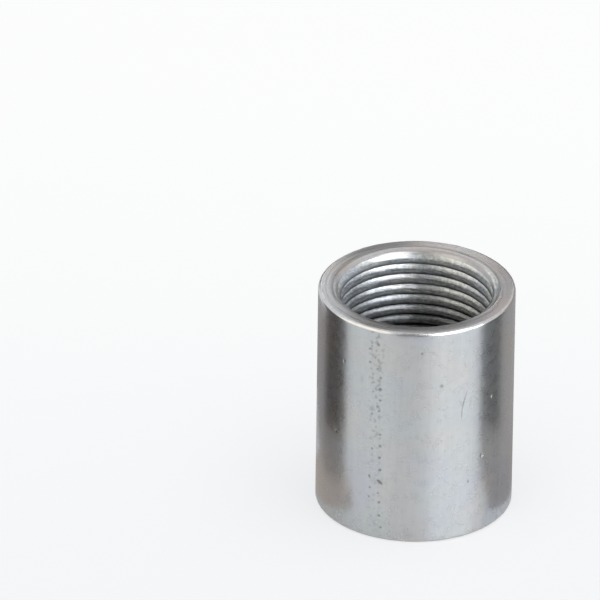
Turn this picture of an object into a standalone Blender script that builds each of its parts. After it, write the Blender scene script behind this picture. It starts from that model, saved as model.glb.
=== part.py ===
"""Steel pipe socket: a short sleeve with one parallel pipe thread running right through it.

The socket stands on one end face. The origin is the centre of that face, +Z runs up the bore, and
sizes are in metres. It is made in the order of the real one: a round blank with broken outer edges,
a tapped bore, and a countersink at each end.
"""

import math

import bmesh
import bpy
from mathutils import Matrix

# Thread of a one inch pipe: right-handed, 11 turns to the inch, flanks 55 degrees apart.
THREAD_MAJOR_DIAMETER = 0.033249
THREAD_PITCH = 0.0254 / 11
HALF_FLANK_ANGLE = math.radians(27.5)
# Where the groove's root leaves the upper end face, counted from +X towards +Y.
THREAD_RUNOUT_ANGLE = math.radians(270)

# Sleeve.
SOCKET_LENGTH = 0.0476
WALL_BEHIND_THREAD = 0.003125
OUTER_EDGE_RADIUS = 0.0006

# Countersink at both ends. It stops just short of the root of the thread.
COUNTERSINK_ANGLE = math.radians(45)
COUNTERSINK_WIDTH = 0.00125

# How finely the round faces are cut.
OUTSIDE_SEGMENTS = 80
BORE_SEGMENTS = 40
EDGE_SEGMENTS = 3

# Cutters run past the end faces by this much.
CUTTER_OVERRUN = 0.001

# The thread form keeps a flat of a sixth of the pitch at its crest and at its root.
THREAD_FLAT = THREAD_PITCH / 6
THREAD_DEPTH = (THREAD_PITCH / 2 - THREAD_FLAT) / math.tan(HALF_FLANK_ANGLE)
MAJOR_RADIUS = THREAD_MAJOR_DIAMETER / 2
MINOR_RADIUS = MAJOR_RADIUS - THREAD_DEPTH
OUTER_RADIUS = MAJOR_RADIUS + WALL_BEHIND_THREAD

# The thread's corners stand half a facet from the runout. So none of them lies in the end face, and
# they pass between the corners of the countersinks.
THREAD_TURN = THREAD_RUNOUT_ANGLE + math.pi / BORE_SEGMENTS
HALF_FACET_RISE = THREAD_PITCH / BORE_SEGMENTS / 2

STEEL_COLOUR = (0.60, 0.61, 0.62, 1.0)
STEEL_ROUGHNESS = 0.3
STEEL_METALLIC = 1.0
SHARP_EDGE_ANGLE = math.radians(20)
MERGE_DISTANCE = 1e-7


def clear_scene():
    """Removes every object that the file opened with."""
    for old in list(bpy.data.objects):
        bpy.data.objects.remove(old, do_unlink=True)


def add_object(name, shape):
    """Turns a bmesh into an object of the scene, with its faces pointing out."""
    bmesh.ops.recalc_face_normals(shape, faces=shape.faces)
    mesh = bpy.data.meshes.new(name)
    shape.to_mesh(mesh)
    shape.free()
    made = bpy.data.objects.new(name, mesh)
    bpy.context.scene.collection.objects.link(made)
    return made


def zinc_plated_steel():
    """The one finish of the socket: bright zinc on steel."""
    material = bpy.data.materials.new("zinc_plated_steel")
    material.use_nodes = True
    shader = material.node_tree.nodes["Principled BSDF"]
    shader.inputs["Base Color"].default_value = STEEL_COLOUR
    shader.inputs["Roughness"].default_value = STEEL_ROUGHNESS
    shader.inputs["Metallic"].default_value = STEEL_METALLIC
    return material


def frustum(lower, upper, segments, turn=0.0):
    """A closed cone or cylinder about the Z axis, from its lower to its upper (height, radius)."""
    (low, low_radius), (high, high_radius) = lower, upper
    shape = bmesh.new()
    bmesh.ops.create_cone(
        shape,
        cap_ends=True,
        segments=segments,
        radius1=low_radius,
        radius2=high_radius,
        depth=high - low,
        matrix=Matrix.Translation((0, 0, (low + high) / 2)) @ Matrix.Rotation(turn, 4, "Z"),
    )
    return shape


def round_blank():
    """A bar of the socket's length with both outer edges rounded over."""
    shape = frustum((0, OUTER_RADIUS), (SOCKET_LENGTH, OUTER_RADIUS), OUTSIDE_SEGMENTS)
    rims = [edge for edge in shape.edges if any(len(face.verts) > 4 for face in edge.link_faces)]
    bmesh.ops.bevel(
        shape,
        geom=rims,
        offset=OUTER_EDGE_RADIUS,
        affect="EDGES",
        segments=EDGE_SEGMENTS,
        profile=0.5,
        material=-1,
    )
    return add_object("socket", shape)


def close_on_axis(shape, rim, height):
    """Draws an open rim of the tap in to a point on the axis, which leaves a fan of faces."""
    drawn = bmesh.ops.extrude_edge_only(shape, edges=rim)["geom"]
    ends = [item for item in drawn if isinstance(item, bmesh.types.BMVert)]
    bmesh.ops.pointmerge(shape, verts=ends, merge_co=(0, 0, height))


def tap():
    """The bore and its thread as one body: a strip one pitch wide, wound past both end faces.

    Each turn of the strip shares its edge with the next one. The groove's root passes the upper end
    face after a whole number of turns.
    """
    turns_below_face = math.ceil((SOCKET_LENGTH + CUTTER_OVERRUN) / THREAD_PITCH) + 1
    turns = turns_below_face + math.ceil(CUTTER_OVERRUN / THREAD_PITCH) + 1
    start = SOCKET_LENGTH - turns_below_face * THREAD_PITCH + HALF_FACET_RISE
    half_root = THREAD_FLAT / 2
    half_opening = (THREAD_PITCH - THREAD_FLAT) / 2
    profile = (
        (MINOR_RADIUS, -half_opening),
        (MAJOR_RADIUS, -half_root),
        (MAJOR_RADIUS, half_root),
        (MINOR_RADIUS, half_opening),
        (MINOR_RADIUS, THREAD_PITCH - half_opening),
    )
    shape = bmesh.new()
    corners = [shape.verts.new((radius, 0, start + height)) for radius, height in profile]
    strip = [shape.edges.new(pair) for pair in zip(corners, corners[1:])]
    bmesh.ops.spin(
        shape,
        geom=corners + strip,
        cent=(0, 0, 0),
        axis=(0, 0, 1),
        dvec=(0, 0, THREAD_PITCH / BORE_SEGMENTS),
        angle=2 * math.pi * turns,
        steps=BORE_SEGMENTS * turns,
    )
    bmesh.ops.remove_doubles(shape, verts=shape.verts, dist=MERGE_DISTANCE)
    middle = SOCKET_LENGTH / 2
    open_edges = [edge for edge in shape.edges if edge.is_boundary]
    lower_rim = [edge for edge in open_edges if edge.verts[0].co.z < middle]
    upper_rim = [edge for edge in open_edges if edge.verts[0].co.z > middle]
    close_on_axis(shape, lower_rim, start - half_opening)
    close_on_axis(shape, upper_rim, start - half_opening + (turns + 1) * THREAD_PITCH)
    turn = Matrix.Rotation(THREAD_TURN, 3, "Z")
    bmesh.ops.rotate(shape, verts=shape.verts, cent=(0, 0, 0), matrix=turn)
    return add_object("tap", shape)


def countersink(name, face_height, outwards):
    """The cone that opens the mouth in an end face. It widens upwards for 1 and downwards for -1."""
    slope = math.tan(COUNTERSINK_ANGLE)
    tip_radius = MINOR_RADIUS / 2
    mouth_radius = MINOR_RADIUS + COUNTERSINK_WIDTH
    tip = (face_height - outwards * (mouth_radius - tip_radius) / slope, tip_radius)
    back = (face_height + outwards * CUTTER_OVERRUN, mouth_radius + CUTTER_OVERRUN * slope)
    cone = frustum(min(tip, back), max(tip, back), BORE_SEGMENTS, THREAD_RUNOUT_ANGLE)
    return add_object(name, cone)


def cut(part, cutter):
    """Takes the cutter's shape out of the part and keeps the cutter as a hidden guide."""
    cutter.hide_render = True
    cutter.display_type = "WIRE"
    boolean = part.modifiers.new(cutter.name, "BOOLEAN")
    boolean.operation = "DIFFERENCE"
    boolean.solver = "EXACT"
    boolean.object = cutter


def main():
    clear_scene()
    socket = round_blank()
    cut(socket, tap())
    cut(socket, countersink("upper_countersink", SOCKET_LENGTH, 1))
    cut(socket, countersink("lower_countersink", 0, -1))
    socket.data.materials.append(zinc_plated_steel())
    socket.data.shade_smooth()
    socket.data.set_sharp_from_angle(angle=SHARP_EDGE_ANGLE)


main()
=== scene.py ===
"""Dresses the steel pipe socket and sets it in a small light studio.

One detailed piece stands for the CAD node: a turned blank whose bore is cut by a worn tap, and whose
drawn skin carries the pits of the weld line, a few dimples and a scratch. Three finishes cover it:
zinc over the drawn skin, zinc over the turned ends, and the cut thread. Sizes are in metres, and
those of the marks in millimetres. The bore is the Z axis and the lower end face lies on the floor.
"""

import logging
import math
from collections.abc import Iterable, Sequence
from dataclasses import dataclass, field
from enum import IntEnum

import bmesh
import bpy
from mathutils import Matrix, Vector, noise


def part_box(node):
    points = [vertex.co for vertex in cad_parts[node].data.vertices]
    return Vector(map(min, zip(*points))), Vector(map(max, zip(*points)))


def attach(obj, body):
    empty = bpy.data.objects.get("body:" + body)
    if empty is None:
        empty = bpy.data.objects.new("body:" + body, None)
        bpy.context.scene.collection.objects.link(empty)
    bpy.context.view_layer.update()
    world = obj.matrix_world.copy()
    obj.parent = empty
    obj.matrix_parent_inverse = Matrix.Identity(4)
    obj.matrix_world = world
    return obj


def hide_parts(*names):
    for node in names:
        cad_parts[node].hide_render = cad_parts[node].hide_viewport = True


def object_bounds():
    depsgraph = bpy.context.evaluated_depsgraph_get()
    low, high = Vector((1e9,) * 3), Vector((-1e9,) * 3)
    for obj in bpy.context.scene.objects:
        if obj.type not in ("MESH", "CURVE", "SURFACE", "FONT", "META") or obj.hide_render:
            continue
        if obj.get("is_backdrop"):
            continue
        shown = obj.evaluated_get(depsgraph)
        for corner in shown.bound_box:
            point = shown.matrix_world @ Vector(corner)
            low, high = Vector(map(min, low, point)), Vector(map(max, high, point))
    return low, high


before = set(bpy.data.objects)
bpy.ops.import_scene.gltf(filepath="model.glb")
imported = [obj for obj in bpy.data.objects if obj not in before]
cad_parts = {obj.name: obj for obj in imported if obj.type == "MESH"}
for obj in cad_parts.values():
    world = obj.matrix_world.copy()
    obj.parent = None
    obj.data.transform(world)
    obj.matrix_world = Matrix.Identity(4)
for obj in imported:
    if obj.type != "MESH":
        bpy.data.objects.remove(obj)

LOG = logging.getLogger("pipe_socket")

MILLIMETRE = 0.001
MICROMETRE = 1e-6
MILLIMETRES_TO_THE_METRE = 1000.0
MERGE_DISTANCE = 1e-7
ROUNDING_SLACK = 1e-6

Colour = tuple[float, float, float, float]
Triple = tuple[float, float, float]
Point = tuple[float, float]
Span = tuple[float, float]
# A number, a colour, a vector or a node's socket.
Value = object


class Finish(IntEnum):
    """Material slots of the socket, in the order in which they are filled."""

    SKIN = 0
    TURNED = 1
    THREAD = 2


# Mesh work


def vertices_in(geometry: Iterable[object]) -> list[bmesh.types.BMVert]:
    """Picks the vertices out of what a bmesh operator returns.

    Args:
        geometry: Vertices, edges and faces in one list.

    Returns:
        The vertices alone.
    """
    return [item for item in geometry if isinstance(item, bmesh.types.BMVert)]


def wire(points: Sequence[Point]) -> bmesh.types.BMesh:
    """Draws a profile in the XZ plane.

    Args:
        points: (radius, height) of each corner, in order.

    Returns:
        A bmesh that holds the open line.
    """
    shape = bmesh.new()
    corners = [shape.verts.new((radius, 0.0, height)) for radius, height in points]
    for pair in zip(corners, corners[1:]):
        shape.edges.new(pair)
    return shape


def round_corner(shape: bmesh.types.BMesh, corner: Point, reach: float, steps: int) -> None:
    """Rounds one corner of a wire profile.

    Args:
        shape: The profile.
        corner: (radius, height) of the corner.
        reach: How far along each side the rounding starts.
        steps: Number of edges in the rounding.
    """
    place = Vector((corner[0], 0.0, corner[1]))
    nearest = min(shape.verts, key=lambda vertex: (vertex.co - place).length)
    bmesh.ops.bevel(
        shape,
        geom=[nearest],
        offset=reach,
        offset_type="OFFSET",
        affect="VERTICES",
        segments=steps,
        profile=0.5,
        material=-1,
    )


def split_edges(shape: bmesh.types.BMesh, longest: float) -> None:
    """Splits the edges of a wire profile until none is longer than a length.

    Args:
        shape: The profile.
        longest: The greatest length that may stay.
    """
    for edge in list(shape.edges):
        cuts = math.ceil(edge.calc_length() / longest - ROUNDING_SLACK) - 1
        if cuts > 0:
            bmesh.ops.subdivide_edges(shape, edges=[edge], cuts=cuts)


def add_object(name: str, shape: bmesh.types.BMesh) -> bpy.types.Object:
    """Turns a bmesh into an object of the scene.

    Args:
        name: Name of the object and of its mesh.
        shape: The bmesh, which is freed.

    Returns:
        The new object, at the origin, unturned and unscaled.
    """
    mesh = bpy.data.meshes.new(name)
    shape.to_mesh(mesh)
    shape.free()
    made = bpy.data.objects.new(name, mesh)
    bpy.context.scene.collection.objects.link(made)
    return made


def smooth_step(low: float, high: float, value: float) -> float:
    """Rises smoothly from 0 at low to 1 at high.

    Args:
        low: Where the rise starts.
        high: Where it ends, which may lie below low.
        value: The value to place between them.

    Returns:
        A share from 0 to 1.
    """
    share = min(1.0, max(0.0, (value - low) / (high - low)))
    return share * share * (3.0 - 2.0 * share)


@dataclass
class Tap:
    """The tap that cuts the bore: a one inch parallel pipe thread, right-handed.

    Its flanks stand 55 degrees apart. The tap is worn: the root slants inwards on its way down, and a
    wide hollow leads it into the flank below. The crest keeps its two sharp corners. The longest edge
    of the profile is a share of the pitch, and each scale is a number of noise cells to the metre.
    """

    length: float
    major_diameter: float = 33.249 * MILLIMETRE
    pitch: float = 25.4 * MILLIMETRE / 11
    depth_in_pitches: float = 0.640327
    half_flank_angle: float = math.radians(27.5)
    runout_angle: float = math.radians(342)
    hollow_radius: float = 1.55 * MILLIMETRE
    hollow_slant: float = math.radians(15)
    hollow_rounding: float = 0.98
    hollow_steps: int = 8
    longest_edge: float = 0.16
    segments: int = 144
    overrun: float = 1.0 * MILLIMETRE
    crest_tear: float = 0.085 * MILLIMETRE
    flank_waviness: float = 0.028 * MILLIMETRE
    crest_share: float = 0.45
    rough_scale: float = 900.0
    rough_weight: float = 0.45
    tear_scale: float = 520.0
    tear_offset: Triple = (7.0, 3.0, 1.0)
    tear_onset: float = 0.12
    tear_weight: float = 1.6
    wave_scale: float = 520.0
    wave_offset: Triple = (0.0, 5.0, 9.0)
    lift_scale: float = 640.0

    @property
    def depth(self) -> float:
        """Height of the thread from root to crest."""
        return self.depth_in_pitches * self.pitch

    @property
    def major_radius(self) -> float:
        """Radius at the root of the socket's thread."""
        return self.major_diameter / 2

    @property
    def minor_radius(self) -> float:
        """Radius at the crest of the socket's thread."""
        return self.major_radius - self.depth

    def profile(self, start: float) -> bmesh.types.BMesh:
        """Draws one pitch of the thread, from the middle of an upper flank down over root and crest.

        Args:
            start: Height of the middle of a root without wear, a sixth of the pitch wide.

        Returns:
            The profile as a wire, with its hollow rounded.
        """
        rise = self.depth * math.tan(self.half_flank_angle)
        bend = math.pi / 2 - self.half_flank_angle - self.hollow_slant
        reach = self.hollow_radius * math.tan(bend / 2)
        half_root = self.pitch / 12
        root_top = start + half_root
        hollow = (
            self.major_radius - reach * math.sin(self.hollow_slant),
            root_top - reach * math.cos(self.hollow_slant),
        )
        fall = (hollow[0] - self.minor_radius) * math.tan(self.half_flank_angle)
        crest_top = hollow[1] - fall
        crest_foot = root_top + rise - self.pitch
        middle_radius = (self.major_radius + self.minor_radius) / 2
        shape = wire(
            (
                (middle_radius, root_top + rise / 2),
                (self.major_radius, root_top),
                hollow,
                (self.minor_radius, crest_top),
                (self.minor_radius, crest_foot),
                (middle_radius, root_top + rise / 2 - self.pitch),
            )
        )
        round_corner(shape, hollow, reach * self.hollow_rounding, self.hollow_steps)
        split_edges(shape, self.longest_edge * self.pitch)
        return shape

    def build(self) -> bpy.types.Object:
        """Winds the profile past both end faces and closes it into one solid body.

        Returns:
            The tap as an object.
        """
        below = math.ceil((self.length + self.overrun) / self.pitch) + 1
        turns = below + math.ceil(self.overrun / self.pitch) + 1
        half_step = self.pitch / self.segments / 2
        start = self.length - below * self.pitch + half_step
        shape = self.profile(start)
        bmesh.ops.spin(
            shape,
            geom=list(shape.verts) + list(shape.edges),
            cent=(0, 0, 0),
            axis=(0, 0, 1),
            dvec=(0, 0, self.pitch / self.segments),
            angle=2 * math.pi,
            steps=self.segments,
        )
        one_turn = list(shape.verts) + list(shape.edges) + list(shape.faces)
        for count in range(1, turns):
            copied = bmesh.ops.duplicate(shape, geom=one_turn)["geom"]
            bmesh.ops.translate(shape, verts=vertices_in(copied), vec=(0, 0, count * self.pitch))
        bmesh.ops.remove_doubles(shape, verts=shape.verts, dist=MERGE_DISTANCE)
        open_edges = [edge for edge in shape.edges if edge.is_boundary]
        middle = self.length / 2
        for upper in (False, True):
            rim = [edge for edge in open_edges if (edge.verts[0].co.z > middle) == upper]
            height = start + turns * self.pitch if upper else start - self.pitch
            drawn = bmesh.ops.extrude_edge_only(shape, edges=rim)["geom"]
            bmesh.ops.pointmerge(shape, verts=vertices_in(drawn), merge_co=(0, 0, height))
        turn = Matrix.Rotation(self.runout_angle + math.pi / self.segments, 3, "Z")
        bmesh.ops.rotate(shape, verts=shape.verts, cent=(0, 0, 0), matrix=turn)
        self.wear(shape)
        bmesh.ops.recalc_face_normals(shape, faces=shape.faces)
        for face in shape.faces:
            face.material_index = Finish.THREAD
        return add_object("tap", shape)

    def wear(self, shape: bmesh.types.BMesh) -> None:
        """Tears the crests a little and gives the flanks the waves that a worn tap leaves.

        Args:
            shape: The wound tap.
        """
        for vertex in shape.verts:
            radius = math.hypot(vertex.co.x, vertex.co.y)
            if radius < self.minor_radius / 2:
                continue
            outward = Vector((vertex.co.x / radius, vertex.co.y / radius, 0.0))
            crest_height = self.depth * self.crest_share
            near_crest = smooth_step(crest_height, 0.0, radius - self.minor_radius)
            rough = noise.noise(vertex.co * self.rough_scale)
            tear = noise.noise(vertex.co * self.tear_scale + Vector(self.tear_offset))
            torn = max(0.0, tear - self.tear_onset)
            waves = noise.noise(vertex.co * self.wave_scale + Vector(self.wave_offset))
            uneven = self.rough_weight * rough + self.tear_weight * torn
            shift = near_crest * self.crest_tear * uneven
            vertex.co += outward * (shift + self.flank_waviness * waves)
            vertex.co.z += self.flank_waviness * noise.noise(vertex.co * self.lift_scale)


@dataclass(frozen=True)
class Mark:
    """A dent in the drawn skin, with a low lip round it.

    turn counts in degrees from the front, to the right, and lean turns the long side from upright,
    in degrees. The sizes are millimetres, and lip is a share of the depth. The lip stands at lip_at
    half widths from the middle.
    """

    turn: float
    height: float
    width: float
    length: float
    depth: float
    lean: float = 0.0
    lip: float = 0.15
    lip_at: float = 1.45
    lip_width: float = 0.35
    bowl_fall: float = 1.6

    def depth_at(self, across: float, up: float) -> float:
        """Depth of the dent at a point of the skin.

        Args:
            across: Distance from its middle around the sleeve, in millimetres.
            up: Distance from its middle along the sleeve, in millimetres.

        Returns:
            The depth in millimetres. It is negative on the raised lip.
        """
        lean = math.radians(self.lean)
        side = across * math.cos(lean) + up * math.sin(lean)
        along = -across * math.sin(lean) + up * math.cos(lean)
        away = math.hypot(side / self.width, along / self.length) * 2
        bowl = math.exp(-self.bowl_fall * away**3)
        lip = self.lip * math.exp(-(((away - self.lip_at) / self.lip_width) ** 2))
        return self.depth * (bowl - lip)


# turn, height, width, length, depth and lean of each mark.
WELD_LINE_MARKS = (
    Mark(-22.8, 44.3, 0.68, 0.60, 0.06),
    Mark(-28.0, 42.9, 0.75, 0.52, 0.07, 30),
    Mark(-26.7, 43.6, 0.52, 0.52, 0.05),
    Mark(-24.5, 41.2, 0.52, 0.75, 0.05),
    Mark(-27.8, 39.9, 0.75, 0.60, 0.07, -20),
    Mark(-22.9, 38.7, 0.68, 0.52, 0.06, 40),
    Mark(-21.0, 36.8, 0.68, 0.52, 0.07, 20),
    Mark(-33.1, 35.6, 0.52, 0.98, 0.09, 35),
    Mark(-21.2, 34.2, 0.75, 0.75, 0.10),
    Mark(-25.4, 33.4, 0.52, 0.52, 0.05),
    Mark(-21.1, 31.7, 0.68, 0.60, 0.07, -30),
    Mark(-22.6, 30.2, 0.45, 0.52, 0.05),
    Mark(-21.7, 29.2, 0.68, 0.52, 0.07, 25),
    Mark(-26.1, 28.3, 0.60, 0.60, 0.06),
    Mark(-20.8, 23.9, 0.68, 0.52, 0.07, 20),
    Mark(-20.7, 21.3, 0.75, 0.60, 0.09, -35),
    Mark(-25.8, 20.4, 0.52, 0.68, 0.06, 10),
    Mark(-21.0, 18.6, 0.75, 0.60, 0.09, 35),
    Mark(-20.6, 15.8, 0.83, 0.57, 0.11, 35),
    Mark(-27.2, 13.9, 0.48, 0.90, 0.10, 25),
    Mark(-20.6, 13.1, 0.68, 1.50, 0.16, 52),
    Mark(-26.8, 11.4, 0.60, 0.60, 0.06),
    Mark(-21.6, 10.5, 0.60, 0.52, 0.06, 15),
    Mark(-27.4, 9.3, 0.52, 0.60, 0.06, 20),
    Mark(-20.9, 8.4, 0.75, 0.60, 0.07, 30),
    Mark(-20.8, 5.4, 0.68, 0.60, 0.07, -20),
    Mark(-19.7, 2.8, 0.68, 0.52, 0.07),
)

SKIN_MARKS = (
    Mark(49.7, 29.9, 0.60, 0.80, 0.17),
    Mark(42.6, 17.4, 0.65, 0.75, 0.20),
    Mark(15.0, 35.5, 0.80, 1.00, 0.05, 30),
    Mark(32.9, 12.4, 0.60, 0.60, 0.06),
    Mark(-53.0, 21.1, 0.60, 0.60, 0.10),
    Mark(-46.6, 37.9, 0.60, 0.70, 0.06),
    Mark(3.0, 43.2, 0.80, 0.60, 0.05),
    Mark(30.3, 32.3, 0.24, 2.60, 0.052, -16),
    Mark(28.9, 30.6, 0.28, 3.00, 0.068, -12),
    Mark(27.9, 28.4, 0.26, 2.80, 0.055, -3),
    Mark(33.5, 30.5, 0.22, 2.20, 0.035, -14),
)


@dataclass
class Sleeve:
    """The turned blank: a short bar with broken edges and a countersink in both ends.

    Each countersink runs on to the axis, with a row of points inside_bore within the thread's crests,
    and the tap takes that away. The burr's reach is counted in edge radii, and its scales in noise
    cells to the millimetre.
    """

    length: float
    outer_radius: float
    mouth_radius: float
    minor_radius: float
    edge_radius: float = 0.6 * MILLIMETRE
    edge_steps: int = 6
    mouth_rounding: float = 0.85 * MILLIMETRE
    mouth_steps: int = 10
    segments: int = 240
    row: float = 0.75 * MILLIMETRE
    inside_bore: float = 0.3 * MILLIMETRE
    skin_tolerance: float = 0.02 * MILLIMETRE
    groove_radii: tuple[float, ...] = (18.15 * MILLIMETRE, 18.75 * MILLIMETRE)
    groove_width: float = 0.26 * MILLIMETRE
    groove_depth: float = 0.012 * MILLIMETRE
    edge_burr: float = 0.06 * MILLIMETRE
    burr_reach: float = 1.6
    coarse_scale: float = 0.45
    coarse_weight: float = 0.55
    fine_scale: float = 1.8
    fine_weight: float = 0.45

    def end_profile(self) -> list[Point]:
        """Lists the upper end's profile from the axis to the skin.

        Returns:
            (radius, depth below the end face) of each corner.
        """
        inside = self.minor_radius - self.inside_bore
        line = [(0.0, self.mouth_radius), (inside, self.mouth_radius - inside)]
        line.append((self.mouth_radius, 0.0))
        for middle in self.groove_radii:
            line.append((middle - self.groove_width, 0.0))
            line.append((middle, self.groove_depth))
            line.append((middle + self.groove_width, 0.0))
        line.append((self.outer_radius, 0.0))
        return line

    def profile(self) -> bmesh.types.BMesh:
        """Draws the whole profile from the axis at the top to the axis at the bottom.

        Returns:
            The profile as a wire, with its outer corners and its mouths rounded.
        """
        end = self.end_profile()
        upper = [(radius, self.length - depth) for radius, depth in end]
        lower = [(radius, depth) for radius, depth in reversed(end)]
        shape = wire(upper + lower)
        for height in (self.length, 0.0):
            outer_edge = (self.outer_radius, height)
            round_corner(shape, outer_edge, self.edge_radius, self.edge_steps)
            mouth_edge = (self.mouth_radius, height)
            round_corner(shape, mouth_edge, self.mouth_rounding, self.mouth_steps)
        side = [
            edge
            for edge in shape.edges
            if min(vertex.co.x for vertex in edge.verts) > self.outer_radius - MERGE_DISTANCE
            and edge.calc_length() > self.length / 2
        ]
        bmesh.ops.subdivide_edges(shape, edges=side, cuts=round(self.length / self.row) - 1)
        return shape

    def build(self) -> bpy.types.Object:
        """Spins the profile into the blank and breaks up its edges a little.

        Returns:
            The blank as an object.
        """
        shape = self.profile()
        bmesh.ops.spin(
            shape,
            geom=list(shape.verts) + list(shape.edges),
            cent=(0, 0, 0),
            axis=(0, 0, 1),
            angle=2 * math.pi,
            steps=self.segments,
            use_merge=True,
        )
        bmesh.ops.remove_doubles(shape, verts=shape.verts, dist=MERGE_DISTANCE)
        bmesh.ops.recalc_face_normals(shape, faces=shape.faces)
        self.roughen_edges(shape)
        for face in shape.faces:
            middle = face.calc_center_median()
            on_skin = math.hypot(middle.x, middle.y) > self.outer_radius - self.skin_tolerance
            face.material_index = Finish.SKIN if on_skin else Finish.TURNED
        return add_object("socket_body", shape)

    def roughen_edges(self, shape: bmesh.types.BMesh) -> None:
        """Presses the broken edges in by small uneven amounts, as a parting tool leaves them.

        Args:
            shape: The spun blank.
        """
        reach = self.burr_reach * self.edge_radius
        for vertex in shape.verts:
            radius = math.hypot(vertex.co.x, vertex.co.y)
            from_end = min(vertex.co.z, self.length - vertex.co.z)
            from_skin = self.outer_radius - radius
            near = smooth_step(reach, 0.0, math.hypot(from_end, from_skin))
            if near <= 0.0 or radius < self.mouth_radius:
                continue
            around = Vector((vertex.co.x, vertex.co.y, 0.0)) * MILLIMETRES_TO_THE_METRE
            uneven = self.coarse_weight * noise.noise(around * self.coarse_scale)
            uneven += self.fine_weight * noise.noise(around * self.fine_scale)
            press = near * self.edge_burr * (0.5 + uneven)
            inwards = Vector((-vertex.co.x / radius, -vertex.co.y / radius, 0.0))
            downwards = -1.0 if vertex.co.z > self.length / 2 else 1.0
            vertex.co += inwards * press
            vertex.co.z += downwards * press


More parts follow.
